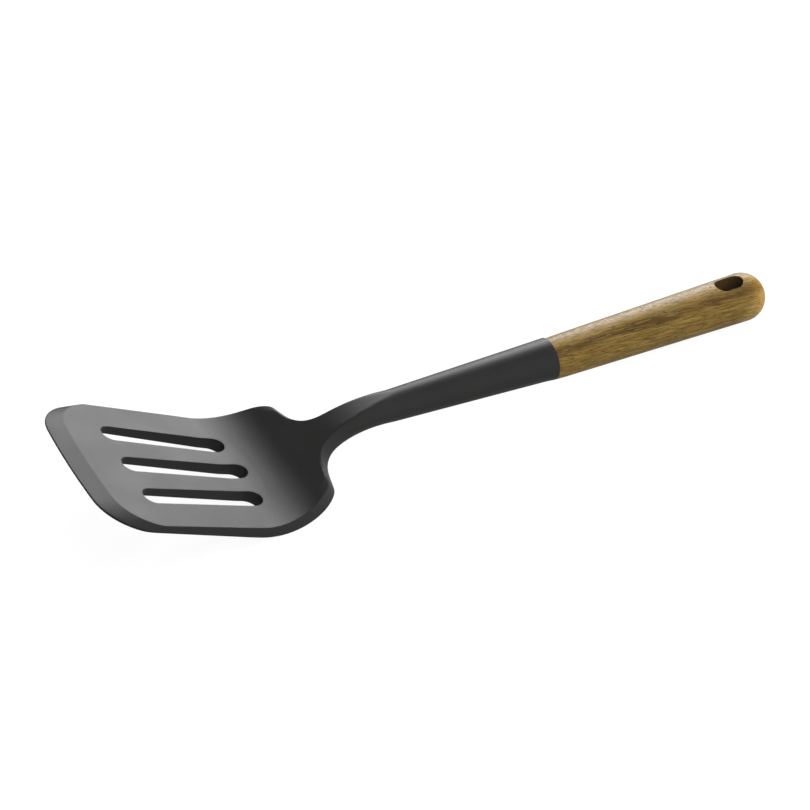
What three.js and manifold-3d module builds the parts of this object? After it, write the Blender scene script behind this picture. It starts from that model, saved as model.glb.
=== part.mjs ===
// Slotted turner: a soft head moulded over a stiff core, on a turned wooden handle.
// Millimetres. +X runs along the handle, +Z is up, and the heel of the blade rests on z = 0.

import * as THREE from "three";
import { mergeVertices } from "three/addons/utils/BufferGeometryUtils.js";
import Module from "manifold-3d";

const { degToRad, lerp, smoothstep } = THREE.MathUtils;

// Top line of the head in side view, from the lip backwards
const bladeSlope = degToRad(26.5);
const flatLength = 67.5;
const bendRadius = 30;
const riseSlope = degToRad(22.6);
const riseLength = 20.2;
const crestRadius = 64.5;
const shaftSlope = degToRad(0.2);
const shaftLength = 73.5;

// Plan outline of the blade, half of it, measured along the top line
const lipHalfWidth = 39.2;
const sideTaper = 0.055;
const lipRadius = 300;
const cornerRadius = 17.3;
const shoulderLead = 7.5; // the sides start to draw in this far before the bend
const shoulderPull = 0.71; // share of the shoulder's run that stays close to the straight side
const rearEdgeRun = 7.4; // rear edge behind the end of the bend
const rearEdgeHalfWidth = 22.6;
const rearEdgeSweep = 3.6; // sideways run of the rear edge for each millimetre along
const rearEdgePull = 1.8;
const neckFilletPull = 0.2; // share of the neck's run that follows the rear edge
const neckSidePull = 0.89; // share of the neck's run that follows the neck's side
const neckSideTaper = 0.25;

// Thickness of the blade
const lipThickness = 1;
const frontThickness = 2.5; // at the lip, before the bevel is cut
const thickening = 0.028; // added for each millimetre behind the lip
const rearThickening = 1.4; // added between the flat and the rear edge
const bevelWidth = 7;
const lipLand = 0.1; // the bevel's foot lies this far outside the lip wall
const edgeRound = 0.3;
const wallShare = 0.4; // how far down the side wall its middle point lies

// Slots
const slotWidth = 9;
const slotFrontGap = 27; // lip to the centre of each slot's front end
const slotPitch = 19.4; // at the front ends
const outerSlotOverrun = 4.1; // rear end centre, past the start of the bend
const middleSlotOverrun = 6.2;

// Neck and shaft
const neckRootRun = 3.1; // where the neck is fully round, past the straight climb
const neckRootRadius = 6.6;
const neckFlatDepth = 2.45;
const neckFlatOverrun = 2.8; // the flat facet fades out this far past the crest
const waistLead = 8; // narrowest place, before the end of the crest
const waistRadius = 5.95;
const sleeveRadius = 8.6;

// Stiff core inside the head
const coreFrontGap = 17;
const coreMargin = 3;
const coreThickness = 1.2;
const coreRodRadius = 4;
const slotWall = 1.6;

// Tang
const tangRadius = 2.5;
const tangInCore = 32;
const tangInHandle = 50;
const tangEndRoom = 2;

// Handle
const handleSlope = degToRad(0.4); // lying down, the tool touches at the heel and at the handle's end
const handleDrop = 0.4; // the wood sits a little low in the sleeve
const handleLength = 103;
const handleJointRadius = 8.45;
const handleEndRadius = 10.2;
const endDome = 9.8;
const jointEdgeRound = 0.4;
const hangHoleLength = 13;
const hangHoleWidth = 9;
const hangHoleInset = 17.6; // handle end to the centre of the hole

// Fits
const clearance = 0.3;

// How finely round shapes are cut into flats
const shoulderSteps = 16;
const cornerSteps = 5;
const crestSteps = 8;
const shaftSteps = 6;
const wallSteps = 5;
const underSteps = 6;
const coreEndSteps = 5;
const slotEndSteps = 10;
const turnSteps = 32;
const endSteps = 7;
const cutReach = 30;

const wasm = await Module();
wasm.setup();

// Places along the top line
const bendEnd = flatLength + bendRadius * (bladeSlope + riseSlope);
const riseEnd = bendEnd + riseLength;
const crestEnd = riseEnd + crestRadius * (riseSlope + shaftSlope);
const shaftEnd = crestEnd + shaftLength;
const rearEdge = bendEnd + rearEdgeRun;
const neckRoot = riseEnd + neckRootRun;
const neckFlatEnd = crestEnd + neckFlatOverrun;
const waist = crestEnd - waistLead;
const heel = flatLength + bendRadius * bladeSlope;
const heelThickness = thicknessAt(heel);

// Height of the lip that puts the underside of the heel on z = 0
const lipHeight = heelThickness + flatLength * Math.sin(bladeSlope) + bendRadius * (1 - Math.cos(bladeSlope));

const topLineRuns = [
  { length: flatLength, turn: 0 },
  { length: bendEnd - flatLength, turn: bladeSlope + riseSlope },
  { length: riseLength, turn: 0 },
  { length: crestEnd - riseEnd, turn: -riseSlope - shaftSlope },
  { length: shaftLength, turn: 0 },
];

function thicknessAt(along) {
  return frontThickness + thickening * along + rearThickening * smoothstep(along, flatLength, rearEdge);
}

// Point and slope of the top line at a distance behind the lip
function topLine(along) {
  const at = { x: 0, z: lipHeight, slope: -bladeSlope };
  let left = along;
  topLineRuns.forEach(({ length, turn }, index) => {
    const last = index === topLineRuns.length - 1;
    const run = last ? left : Math.min(left, length);
    const next = at.slope + (turn * run) / length;
    if (turn === 0) {
      at.x += run * Math.cos(at.slope);
      at.z += run * Math.sin(at.slope);
    } else {
      const radius = length / turn;
      at.x += radius * (Math.sin(next) - Math.sin(at.slope));
      at.z += radius * (Math.cos(at.slope) - Math.cos(next));
    }
    at.slope = next;
    left -= run;
  });
  return at;
}

// A point at a distance along the top line, across the tool and below the top line
function place(along, across, depth) {
  const { x, z, slope } = topLine(along);
  return new THREE.Vector3(x + depth * Math.sin(slope), across, z - depth * Math.cos(slope));
}

function shaftRadius(along) {
  if (along < waist) {
    const towardsRoot = (waist - along) / (waist - neckRoot);
    return lerp(waistRadius, neckRootRadius, towardsRoot ** 2);
  }
  return lerp(waistRadius, sleeveRadius, (along - waist) / (shaftEnd - waist));
}

// Half width of the flat facet that the top line leaves on the round neck
function neckFlatHalfWidth(along) {
  const radius = shaftRadius(along);
  const fade = THREE.MathUtils.clamp((neckFlatEnd - along) / (neckFlatEnd - neckRoot), 0, 1);
  const centreDepth = radius - neckFlatDepth * fade;
  const narrowest = radius * Math.sin(Math.PI / (4 * (wallSteps + 1)));
  return Math.max(Math.sqrt(radius ** 2 - centreDepth ** 2), narrowest);
}

// Front corner: touches the lip arc inside and the straight side
function frontCorner() {
  const sideLength = Math.hypot(1, sideTaper);
  const offset = lipHalfWidth - cornerRadius * sideLength;
  const half = lipRadius + offset * sideTaper;
  const constant = lipRadius ** 2 + offset ** 2 - (lipRadius - cornerRadius) ** 2;
  const along = (half - Math.sqrt(half ** 2 - sideLength ** 2 * constant)) / sideLength ** 2;
  return { along, across: offset - sideTaper * along };
}

// Half outline of the top face, from the middle of the lip to the round neck
function headOutline() {
  const corner = frontCorner();
  const lipAngle = Math.atan2(corner.across, lipRadius - corner.along);
  const sideAngle = Math.PI / 2 - Math.atan(sideTaper);
  const firstAngle = lipAngle / cornerSteps;
  const shoulder = flatLength - shoulderLead;
  const shoulderHalfWidth = lipHalfWidth - sideTaper * shoulder;
  const sideReach = shoulderPull * (rearEdge - shoulder);
  const filletReach = neckFilletPull * (neckRoot - rearEdge);
  const neckReach = neckSidePull * (neckRoot - rearEdge);
  const neckHalfWidth = neckFlatHalfWidth(neckRoot);
  const outline = new THREE.Path();
  outline.absarc(lipRadius, 0, lipRadius, Math.PI - firstAngle, Math.PI - lipAngle, true);
  outline.absarc(corner.along, corner.across, cornerRadius, Math.PI - lipAngle, sideAngle, true);
  const front = outline.getPoints(cornerSteps);
  const shoulderCurve = new THREE.CubicBezierCurve(
    new THREE.Vector2(shoulder, shoulderHalfWidth),
    new THREE.Vector2(shoulder + sideReach, shoulderHalfWidth - sideTaper * sideReach),
    new THREE.Vector2(rearEdge - rearEdgePull, rearEdgeHalfWidth + rearEdgeSweep * rearEdgePull),
    new THREE.Vector2(rearEdge, rearEdgeHalfWidth),
  );
  const neckCurve = new THREE.CubicBezierCurve(
    new THREE.Vector2(rearEdge, rearEdgeHalfWidth),
    new THREE.Vector2(rearEdge + filletReach, rearEdgeHalfWidth - rearEdgeSweep * filletReach),
    new THREE.Vector2(neckRoot - neckReach, neckHalfWidth + neckSideTaper * neckReach),
    new THREE.Vector2(neckRoot, neckHalfWidth),
  );
  const rear = neckCurve.getPoints(shoulderSteps).slice(1);
  return [...front, ...shoulderCurve.getPoints(shoulderSteps), ...rear];
}

// Stations of the head: the outline, then the round shaft up to the handle
function headStations() {
  const stations = headOutline().map(({ x, y }) => ({ along: x, half: y }));
  const addRun = (from, to, steps) => {
    for (let step = 1; step <= steps; step += 1) {
      const along = lerp(from, to, step / steps);
      stations.push({ along, half: neckFlatHalfWidth(along) });
    }
  };
  addRun(neckRoot, neckFlatEnd, crestSteps);
  addRun(neckFlatEnd, shaftEnd, shaftSteps);
  return stations;
}

// Section sizes: a square-edged sheet in the blade, a round rod with a flat on top in the neck
function sectionSizes({ along, half }) {
  const sheet = thicknessAt(along);
  const round = smoothstep(along, rearEdge, neckRoot);
  const radius = shaftRadius(Math.max(along, neckRoot));
  const rodHalf = along > neckRoot ? half : neckFlatHalfWidth(neckRoot);
  const rodMiddle = Math.sqrt(radius ** 2 - rodHalf ** 2);
  const widest = half + round * (radius - rodHalf);
  return {
    half,
    widest,
    middle: lerp(sheet * wallShare, rodMiddle, round),
    depth: lerp(sheet, rodMiddle + radius, round),
    under: lerp(Math.min(edgeRound, half / 2), widest - rodHalfFlat(radius), round),
    sheet,
    round,
  };
}

// Half width of the narrow flat that closes a round section underneath
function rodHalfFlat(radius) {
  return radius * Math.sin(Math.PI / (4 * (underSteps + 1)));
}

// One closed ring of points round a station, starting at the right edge of the top face
function sectionRing(station) {
  const { half, widest, middle, depth, under } = sectionSizes(station);
  const side = [];
  for (let step = 0; step <= wallSteps; step += 1) {
    const up = Math.cos((step / wallSteps) * (Math.PI / 2));
    side.push([Math.sqrt(widest ** 2 - up ** 2 * (widest ** 2 - half ** 2)), middle * (1 - up)]);
  }
  for (let step = 1; step <= underSteps; step += 1) {
    const angle = (step / underSteps) * (Math.PI / 2);
    side.push([widest - under + under * Math.cos(angle), depth - under + under * Math.sin(angle)]);
  }
  const mirrored = side.map(([across, down]) => [-across, down]).reverse();
  return [...side, ...mirrored].map(([across, down]) => place(station.along, across, down));
}

// Rounded-edge strip of the core round a station; its rod ends straight on the handle axis
function coreRing(station, grow) {
  const { sheet, round, middle } = sectionSizes(station);
  const plateHalf = Math.max(station.half - coreMargin, coreRodRadius);
  const halfThick = lerp(coreThickness / 2, coreRodRadius, round) + grow;
  const half = lerp(plateHalf, coreRodRadius, round) + grow;
  const { x, z, slope } = topLine(station.along);
  const axisHeight = jointPoint.z + (jointPoint.x - x) * Math.tan(handleSlope);
  const axisDepth = (z - axisHeight) / Math.cos(slope);
  const straight = smoothstep(station.along, crestEnd, shaftEnd - tangInCore - tangEndRoom);
  const centre = lerp(sheet / 2, lerp(middle, axisDepth, straight), round);
  const ring = [];
  for (const side of [1, -1]) {
    for (let step = 0; step <= coreEndSteps; step += 1) {
      const angle = side * (Math.PI / 2 - (step / coreEndSteps) * Math.PI);
      const across = side * (half - halfThick + halfThick * Math.cos(angle));
      ring.push([across, centre - halfThick * Math.sin(angle)]);
    }
  }
  return ring.map(([across, down]) => place(station.along, across, down));
}

// Skin through rings that all have the same number of points, closed at both ends
function loft(rings) {
  const count = rings[0].length;
  const positions = rings.flat().flatMap((point) => point.toArray());
  const index = [];
  for (let row = 0; row + 1 < rings.length; row += 1) {
    for (let point = 0; point < count; point += 1) {
      const here = row * count + point;
      const beside = row * count + ((point + 1) % count);
      index.push(here, here + count, beside, beside, here + count, beside + count);
    }
  }
  const last = (rings.length - 1) * count;
  for (let point = 1; point + 1 < count; point += 1) {
    index.push(0, point, point + 1);
    index.push(last, last + point + 1, last + point);
  }
  const geometry = new THREE.BufferGeometry();
  geometry.setAttribute("position", new THREE.Float32BufferAttribute(positions, 3));
  geometry.setIndex(index);
  return geometry;
}

function toSolid(geometry) {
  const bare = geometry.clone();
  for (const name of Object.keys(bare.attributes)) {
    if (name !== "position") bare.deleteAttribute(name);
  }
  const merged = mergeVertices(bare.index ? bare.toNonIndexed() : bare, 1e-4);
  const mesh = new wasm.Mesh({
    numProp: 3,
    vertProperties: new Float32Array(merged.attributes.position.array),
    triVerts: new Uint32Array(merged.index.array),
  });
  mesh.merge();
  return new wasm.Manifold(mesh);
}

function toGeometry(solid) {
  const mesh = solid.getMesh();
  const geometry = new THREE.BufferGeometry();
  geometry.setAttribute("position", new THREE.Float32BufferAttribute(mesh.vertProperties, 3));
  geometry.setIndex(Array.from(mesh.triVerts));
  geometry.computeVertexNormals();
  return geometry;
}

// Frame of the flat blade: X back from the lip, Y across, Z out of the top face
function bladeFrame() {
  return new THREE.Matrix4().makeRotationY(bladeSlope).setPosition(0, 0, lipHeight);
}

// Round-ended bar standing across the blade, from the front centre to the rear centre
function obround(from, to, radius) {
  const heading = Math.atan2(to.y - from.y, to.x - from.x);
  const shape = new THREE.Shape();
  shape.absarc(to.x, to.y, radius, heading - Math.PI / 2, heading + Math.PI / 2, false);
  shape.absarc(from.x, from.y, radius, heading + Math.PI / 2, heading + 1.5 * Math.PI, false);
  return shape;
}

function prism(shape, from, to) {
  const settings = { depth: to - from, bevelEnabled: false, curveSegments: slotEndSteps };
  return new THREE.ExtrudeGeometry(shape, settings).translate(0, 0, from);
}

function slotBars(radius) {
  const rows = [
    { pitch: -slotPitch, overrun: outerSlotOverrun },
    { pitch: 0, overrun: middleSlotOverrun },
    { pitch: slotPitch, overrun: outerSlotOverrun },
  ];
  return rows.map(({ pitch, overrun }) => {
    const rear = flatLength + overrun;
    const drawnIn = sideTaper * (rear - slotFrontGap) * Math.sign(pitch);
    const from = new THREE.Vector2(slotFrontGap, pitch);
    const to = new THREE.Vector2(rear, pitch - drawnIn);
    return toSolid(prism(obround(from, to, radius), -cutReach, cutReach).applyMatrix4(bladeFrame()));
  });
}

// What the front bevel removes: all that lies outside the lip outline slid back up the bevel
function bevelWaste() {
  const drop = frontThickness - lipThickness;
  const corner = frontCorner();
  const front = headOutline().filter(({ x }) => x < corner.along);
  const last = front.at(-1);
  const half = front.map(({ x, y }) => new THREE.Vector2(x - lipLand, y));
  half.push(new THREE.Vector2(last.x + cutReach, last.y + cutReach));
  const mirrored = half.map(({ x, y }) => new THREE.Vector2(x, -y)).reverse();
  const kept = prism(new THREE.Shape([...mirrored, ...half]), -drop, 2 * drop);
  kept.applyMatrix4(new THREE.Matrix4().makeShear(0, 0, 0, 0, bevelWidth / drop, 0));
  const blockLength = corner.along + 2 * cornerRadius;
  const block = new THREE.BoxGeometry(blockLength, 2 * (lipHalfWidth + cornerRadius), 1.5 * drop);
  block.translate(corner.along / 2, 0, 0.75 * drop);
  const waste = toSolid(block).subtract(toSolid(kept));
  const lipTop = new THREE.Matrix4().makeTranslation(0, 0, -drop);
  return toSolid(toGeometry(waste).applyMatrix4(bladeFrame().multiply(lipTop)));
}

// Frame of the handle: on the joint face, X along the handle axis
const jointPoint = place(shaftEnd, 0, shaftRadius(shaftEnd) + handleDrop);
const handleFrame = new THREE.Matrix4().makeRotationY(handleSlope).setPosition(jointPoint);
const coreStations = headStations().filter(({ along }) => along > coreFrontGap);

// The core's strip with its slot windows, grown by a clearance to make the hollow that it fills
function coreSolid(grow) {
  const strip = toSolid(loft(coreStations.map((station) => coreRing(station, grow))));
  return slotBars(slotWidth / 2 + slotWall - grow).reduce((solid, bar) => solid.subtract(bar), strip);
}

// A round bar along the handle axis, starting at a distance behind the joint
function axisBar(radius, from, to) {
  const bar = new THREE.CylinderGeometry(radius, radius, to - from, turnSteps);
  bar.rotateZ(Math.PI / 2).translate((from + to) / 2, 0, 0);
  return bar;
}

function siliconeHead() {
  const outside = toSolid(loft(headStations().map(sectionRing)));
  const mouth = toSolid(axisBar(coreRodRadius + clearance, -1, 1).applyMatrix4(handleFrame));
  const cutters = [bevelWaste(), ...slotBars(slotWidth / 2), coreSolid(clearance), mouth];
  return toGeometry(cutters.reduce((solid, cutter) => solid.subtract(cutter), outside));
}

function bladeCore() {
  const socket = axisBar(tangRadius + clearance, -tangInCore - clearance, cutReach);
  return toGeometry(coreSolid(0).subtract(toSolid(socket.applyMatrix4(handleFrame))));
}

// Handle in its own frame: joint face at the origin, axis along +X
function woodHandle() {
  const profile = new THREE.Path();
  profile.moveTo(0, 0);
  profile.lineTo(handleJointRadius - jointEdgeRound, 0);
  profile.lineTo(handleJointRadius, jointEdgeRound);
  profile.lineTo(handleEndRadius, handleLength - endDome);
  profile.absellipse(0, handleLength - endDome, handleEndRadius, endDome, 0, Math.PI / 2, false, 0);
  const turned = new THREE.LatheGeometry(profile.getPoints(endSteps), turnSteps);
  const body = toSolid(turned.rotateZ(-Math.PI / 2));
  const straight = (hangHoleLength - hangHoleWidth) / 2;
  const centre = handleLength - hangHoleInset;
  const from = new THREE.Vector2(centre - straight, 0);
  const to = new THREE.Vector2(centre + straight, 0);
  const hole = toSolid(prism(obround(from, to, hangHoleWidth / 2), -cutReach, cutReach));
  const bore = toSolid(axisBar(tangRadius + clearance, -1, tangInHandle + tangEndRoom));
  return toGeometry(body.subtract(hole).subtract(bore));
}

function addPiece(group, name, geometry, color, roughness, metalness) {
  const material = new THREE.MeshStandardMaterial({ color, roughness, metalness });
  const mesh = new THREE.Mesh(geometry, material);
  mesh.name = name;
  group.add(mesh);
}

const turner = new THREE.Group();
addPiece(turner, "silicone_head", siliconeHead(), "#3b3c3c", 0.62, 0);
addPiece(turner, "blade_core", bladeCore(), "#20211f", 0.5, 0);

// The rear half hangs on the joint: tang and handle share one axis
const rearHalf = new THREE.Group();
rearHalf.applyMatrix4(handleFrame);
addPiece(rearHalf, "tang_rod", axisBar(tangRadius, -tangInCore, tangInHandle), "#b5b7b8", 0.35, 1);
const handle = new THREE.Group();
handle.position.x = clearance;
addPiece(handle, "wood_handle", woodHandle(), "#8c6d3f", 0.5, 0);
rearHalf.add(handle);
turner.add(rearHalf);

// Origin under the middle of the whole tool
const extent = new THREE.Box3().setFromObject(turner);
turner.position.set(-(extent.min.x + extent.max.x) / 2, 0, -extent.min.z);

export default turner;
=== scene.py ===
import math

import bpy
from mathutils import Matrix, Quaternion, Vector


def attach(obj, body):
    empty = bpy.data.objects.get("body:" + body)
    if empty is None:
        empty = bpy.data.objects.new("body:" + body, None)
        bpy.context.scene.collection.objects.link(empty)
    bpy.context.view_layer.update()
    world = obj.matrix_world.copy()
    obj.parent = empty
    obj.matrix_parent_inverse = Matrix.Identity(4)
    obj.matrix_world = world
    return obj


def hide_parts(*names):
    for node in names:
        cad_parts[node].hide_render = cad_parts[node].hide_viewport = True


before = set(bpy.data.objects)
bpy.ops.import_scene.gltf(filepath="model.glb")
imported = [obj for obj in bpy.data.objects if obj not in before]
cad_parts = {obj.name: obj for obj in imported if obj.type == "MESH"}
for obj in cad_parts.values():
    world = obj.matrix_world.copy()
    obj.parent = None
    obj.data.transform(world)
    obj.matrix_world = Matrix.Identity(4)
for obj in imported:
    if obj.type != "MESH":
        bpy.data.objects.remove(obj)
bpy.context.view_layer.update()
scene = bpy.context.scene
scene.view_settings.view_transform = "Standard"
mm = 0.001
mergeGap = 1e-6  # metres
rimSegments = 3
halvings = 50
print("frame loaded:", ", ".join(sorted(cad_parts)))


# small helpers for curves and blends
def mixed(first, second, share):
    return first + (second - first) * share


def clamped(value):
    return min(max(value, 0.0), 1.0)


def eased(value, low, high):
    share = clamped((value - low) / (high - low))
    return share * share * (3 - 2 * share)


def steps(first, last, count):
    return [mixed(first, last, step / count) for step in range(1, count + 1)]


def curvePoint(corners, share):  # a point of a cubic curve given by its four corners
    rest = 1 - share
    weights = (rest ** 3, 3 * rest ** 2 * share, 3 * rest * share ** 2, share ** 3)
    return tuple(sum(weight * corner[axis] for weight, corner in zip(weights, corners)) for axis in (0, 1))


def turningPoint(isBefore, low, high):  # where a test changes from true to false, found by halving
    for _ in range(halvings):
        middle = (low + high) / 2
        if isBefore(middle):
            low = middle
        else:
            high = middle
    return (low + high) / 2


# helpers for working on one piece, as by hand
def takeUp(piece):
    bpy.ops.object.select_all(action="DESELECT")
    piece.select_set(True)
    bpy.context.view_layer.objects.active = piece


def clearPick(kind):
    bpy.ops.object.mode_set(mode="EDIT")
    bpy.ops.mesh.select_mode(type=kind)
    bpy.ops.mesh.select_all(action="DESELECT")
    bpy.ops.object.mode_set(mode="OBJECT")


def pickFaces(piece, test):
    clearPick("FACE")
    for face in piece.data.polygons:
        face.select = test(face)
    bpy.ops.object.mode_set(mode="EDIT")


def pickEdges(piece, test):
    clearPick("EDGE")
    spots = piece.data.vertices
    for edge in piece.data.edges:
        edge.select = test(edge, spots[edge.vertices[0]].co, spots[edge.vertices[1]].co)
    bpy.ops.object.mode_set(mode="EDIT")


def deleteFaces(piece, test):
    pickFaces(piece, test)
    bpy.ops.mesh.delete(type="FACE")
    bpy.ops.object.mode_set(mode="OBJECT")


def roundEdges(piece, keys, width):  # width in millimetres
    pickEdges(piece, lambda edge, a, b: edge.key in keys)
    bpy.ops.mesh.bevel(offset=width * mm, segments=rimSegments, profile=0.5, affect="EDGES")
    bpy.ops.object.mode_set(mode="OBJECT")


def pickOpenEdges():  # edges with a face on one side only
    clearPick("EDGE")
    bpy.ops.object.mode_set(mode="EDIT")
    others = {"use_wire": True, "use_multi_face": False, "use_non_contiguous": False}
    bpy.ops.mesh.select_non_manifold(extend=False, **others)


def rimKeys(piece, isFlat):  # edges between a flat face and a wall
    kinds = {}
    for face in piece.data.polygons:
        for key in face.edge_keys:
            kinds.setdefault(key, set()).add(isFlat(face))
    return {key for key, found in kinds.items() if len(found) == 2}


def addModifier(piece, kind, **values):
    takeUp(piece)
    modifier = piece.modifiers.new(kind.lower(), kind)
    for name, value in values.items():
        setattr(modifier, name, value)
    bpy.ops.object.modifier_apply(modifier=modifier.name)


def addGrid(name, rowCount, columnCount):
    bpy.ops.object.select_all(action="DESELECT")
    bpy.ops.mesh.primitive_grid_add(x_subdivisions=rowCount - 1, y_subdivisions=columnCount - 1, size=2)
    piece = bpy.context.object
    piece.name = name
    piece.data.name = name
    return piece


def gridSpot(co, rowCount, columnCount):  # row and column of a point of a fresh grid
    return (co.x + 1) / 2 * (rowCount - 1), (co.y + 1) / 2 * (columnCount - 1)


def mergeAndFace(piece):
    takeUp(piece)
    bpy.ops.object.mode_set(mode="EDIT")
    bpy.ops.mesh.select_all(action="SELECT")
    bpy.ops.mesh.remove_doubles(threshold=mergeGap)
    bpy.ops.mesh.normals_make_consistent(inside=False)
    bpy.ops.object.mode_set(mode="OBJECT")


def smoothShade(piece):
    takeUp(piece)
    bpy.ops.object.shade_smooth()
    addModifier(piece, "WEIGHTED_NORMAL")


# the head: one soft moulding, lengths in millimetres, angles in degrees
headShape = {
    # top line in side view, from the lip backwards
    "bladeSlope": 26.5, "flatLength": 67.3, "bendRadius": 30, "riseSlope": 23.4, "riseLength": 18.3,
    "crestRadius": 64.5, "shaftSlope": 0.2, "shaftLength": 74.65,
    # plan outline, half of it
    "lipHalfWidth": 39.2, "lipRadius": 300, "cornerRadius": 18.1, "sideTaper": 0.055,
    "shoulderLead": 7.5, "shoulderPull": 0.795, "rearEdgeRun": 7.06, "rearEdgeHalfWidth": 23.57,
    "rearEdgeSweep": 3.78, "rearEdgePull": 1.07,
    "neckFilletPull": 0.137, "neckSidePull": 0.885, "neckSideTaper": 0.12,
    # thickness and bevel
    "frontThickness": 2.65, "lipThickness": 0.66, "thickening": 0.028, "rearThickening": 1.4,
    "bevelWidth": 7,
    # slots
    "slotWidth": 8.6, "slotFront": 26.5, "slotPitch": 19.4, "outerOverrun": 3.4, "middleOverrun": 5.2,
    # neck with its flat, shaft and sleeve
    "neckRootRun": 3.1, "neckRootRadius": 6.7, "neckEase": 4, "neckFlatDepth": 2.45, "neckFlatOverrun": 2.8,
    "flatSoftness": 0.02, "creaseSoftness": 0.02, "waistRun": 2, "waistRadius": 6.35,
    "sleeveRadius": 8.66, "sleeveFlare": 0.1, "sleeveFlareRun": 4,
    # rounding of rims
    "rimRound": 0.3, "rearRound": 1.0, "rearRoundLead": 10, "rearRoundRun": 5, "sleeveRound": 0.25,
    # place of the lip in the frame
    "originX": -152.188, "originZ": 0.099,
}
# how the flat blank is divided, and limits used while it is formed
headGrid = {
    "blank": 4.0, "wallCuts": 5, "ring": 2.2, "squareOut": 1.9, "lean": 3,
    "barColumns": 4, "sideColumns": 12, "gather": 0.36, "gatherEnd": 90,
    "lipSteps": 20, "cornerSteps": 200, "arcSteps": 8, "slotSteps": 12, "gatherSteps": 5,
    "shoulderSteps": 14, "neckSteps": 24, "flatSteps": 16, "shaftSteps": 16,
    "bevelShares": (0.0, 0.33, 0.66, 0.95, 1.0), "fieldShares": (0.06, 0.3, 0.65),
    "sideFront": 23.5, "sideSlotStart": 32, "sideSlotEnd": 68, "sideRear": 84,
    "wallTurn": 110, "flatTurn": 80, "softReach": 60, "slopeStep": 0.1,
    "endReach": 0.01, "endFacing": 0.9, "flatFacing": 0.5, "wallShare": 0.9,
}

bladeSlope = math.radians(headShape["bladeSlope"])
riseSlope = math.radians(headShape["riseSlope"])
shaftSlope = math.radians(headShape["shaftSlope"])
flatLength = headShape["flatLength"]
bendRadius = headShape["bendRadius"]
bendEnd = flatLength + bendRadius * (bladeSlope + riseSlope)
riseEnd = bendEnd + headShape["riseLength"]
crestEnd = riseEnd + headShape["crestRadius"] * (riseSlope + shaftSlope)
shaftEnd = crestEnd + headShape["shaftLength"]
rearEdge = bendEnd + headShape["rearEdgeRun"]
neckRoot = riseEnd + headShape["neckRootRun"]
neckFlatEnd = crestEnd + headShape["neckFlatOverrun"]
waist = crestEnd + headShape["waistRun"]
sideTaper = headShape["sideTaper"]
topRuns = [
    (flatLength, 0),
    (bendEnd - flatLength, bladeSlope + riseSlope),
    (headShape["riseLength"], 0),
    (crestEnd - riseEnd, -riseSlope - shaftSlope),
    (headShape["shaftLength"], 0),
]


def thicknessAt(along):
    straight = headShape["frontThickness"] + headShape["thickening"] * along
    return straight + headShape["rearThickening"] * eased(along, flatLength, rearEdge)


heel = flatLength + bendRadius * bladeSlope
lipHeight = thicknessAt(heel) + flatLength * math.sin(bladeSlope)
lipHeight += bendRadius * (1 - math.cos(bladeSlope))


def topLine(along):  # point and slope of the head's top line, measured back from the lip
    x, z, slope, left = 0.0, lipHeight, -bladeSlope, along
    for index, (length, turn) in enumerate(topRuns):
        run = left if index == len(topRuns) - 1 else min(left, length)
        after = slope + turn * run / length
        if turn == 0:
            x += run * math.cos(slope)
            z += run * math.sin(slope)
        else:
            radius = length / turn
            x += radius * (math.sin(after) - math.sin(slope))
            z += radius * (math.cos(slope) - math.cos(after))
        slope = after
        left -= run
    return x, z, slope


def headPlace(along, across, depth):
    x, z, slope = topLine(along)
    x += depth * math.sin(slope) + headShape["originX"]
    z += headShape["originZ"] - depth * math.cos(slope)
    return Vector((x, across, z)) * mm


def shaftRadius(along):  # narrow at the waist, wider to the neck and to the handle
    narrow = headShape["waistRadius"]
    if along < waist:
        share = (waist - along) / (waist - neckRoot)
        return mixed(narrow, headShape["neckRootRadius"], share ** headShape["neckEase"])
    flare = headShape["sleeveFlare"] * eased(along, shaftEnd - headShape["sleeveFlareRun"], shaftEnd)
    return mixed(narrow, headShape["sleeveRadius"], (along - waist) / (shaftEnd - waist)) + flare


# plan outline of the blade
def frontCorner():
    lipRadius, cornerRadius = headShape["lipRadius"], headShape["cornerRadius"]
    sideLength = math.hypot(1, sideTaper)
    offset = headShape["lipHalfWidth"] - cornerRadius * sideLength
    half = lipRadius + offset * sideTaper
    constant = lipRadius ** 2 + offset ** 2 - (lipRadius - cornerRadius) ** 2
    along = (half - math.sqrt(half ** 2 - sideLength ** 2 * constant)) / sideLength ** 2
    return along, offset - sideTaper * along


cornerAlong, cornerAcross = frontCorner()
cornerRadius = headShape["cornerRadius"]
lipAngle = math.atan2(cornerAcross, headShape["lipRadius"] - cornerAlong)
sideAngle = math.atan(sideTaper)
cornerEnd = cornerAlong + cornerRadius * math.sin(sideAngle)  # where the corner meets the straight side
neckFlatDrop = headShape["neckRootRadius"] - headShape["neckFlatDepth"]
neckHalf = math.sqrt(headShape["neckRootRadius"] ** 2 - neckFlatDrop ** 2)
shoulder = flatLength - headShape["shoulderLead"]
shoulderHalf = headShape["lipHalfWidth"] - sideTaper * shoulder
sideReach = headShape["shoulderPull"] * (rearEdge - shoulder)
filletReach = headShape["neckFilletPull"] * (neckRoot - rearEdge)
neckReach = headShape["neckSidePull"] * (neckRoot - rearEdge)
rearHalf = headShape["rearEdgeHalfWidth"]
rearPull, rearSweep = headShape["rearEdgePull"], headShape["rearEdgeSweep"]
shoulderCurve = [
    (shoulder, shoulderHalf),
    (shoulder + sideReach, shoulderHalf - sideTaper * sideReach),
    (rearEdge - rearPull, rearHalf + rearSweep * rearPull),
    (rearEdge, rearHalf),
]
neckCurve = [
    (rearEdge, rearHalf),
    (rearEdge + filletReach, rearHalf - rearSweep * filletReach),
    (neckRoot - neckReach, neckHalf + headShape["neckSideTaper"] * neckReach),
    (neckRoot, neckHalf),
]


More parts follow.
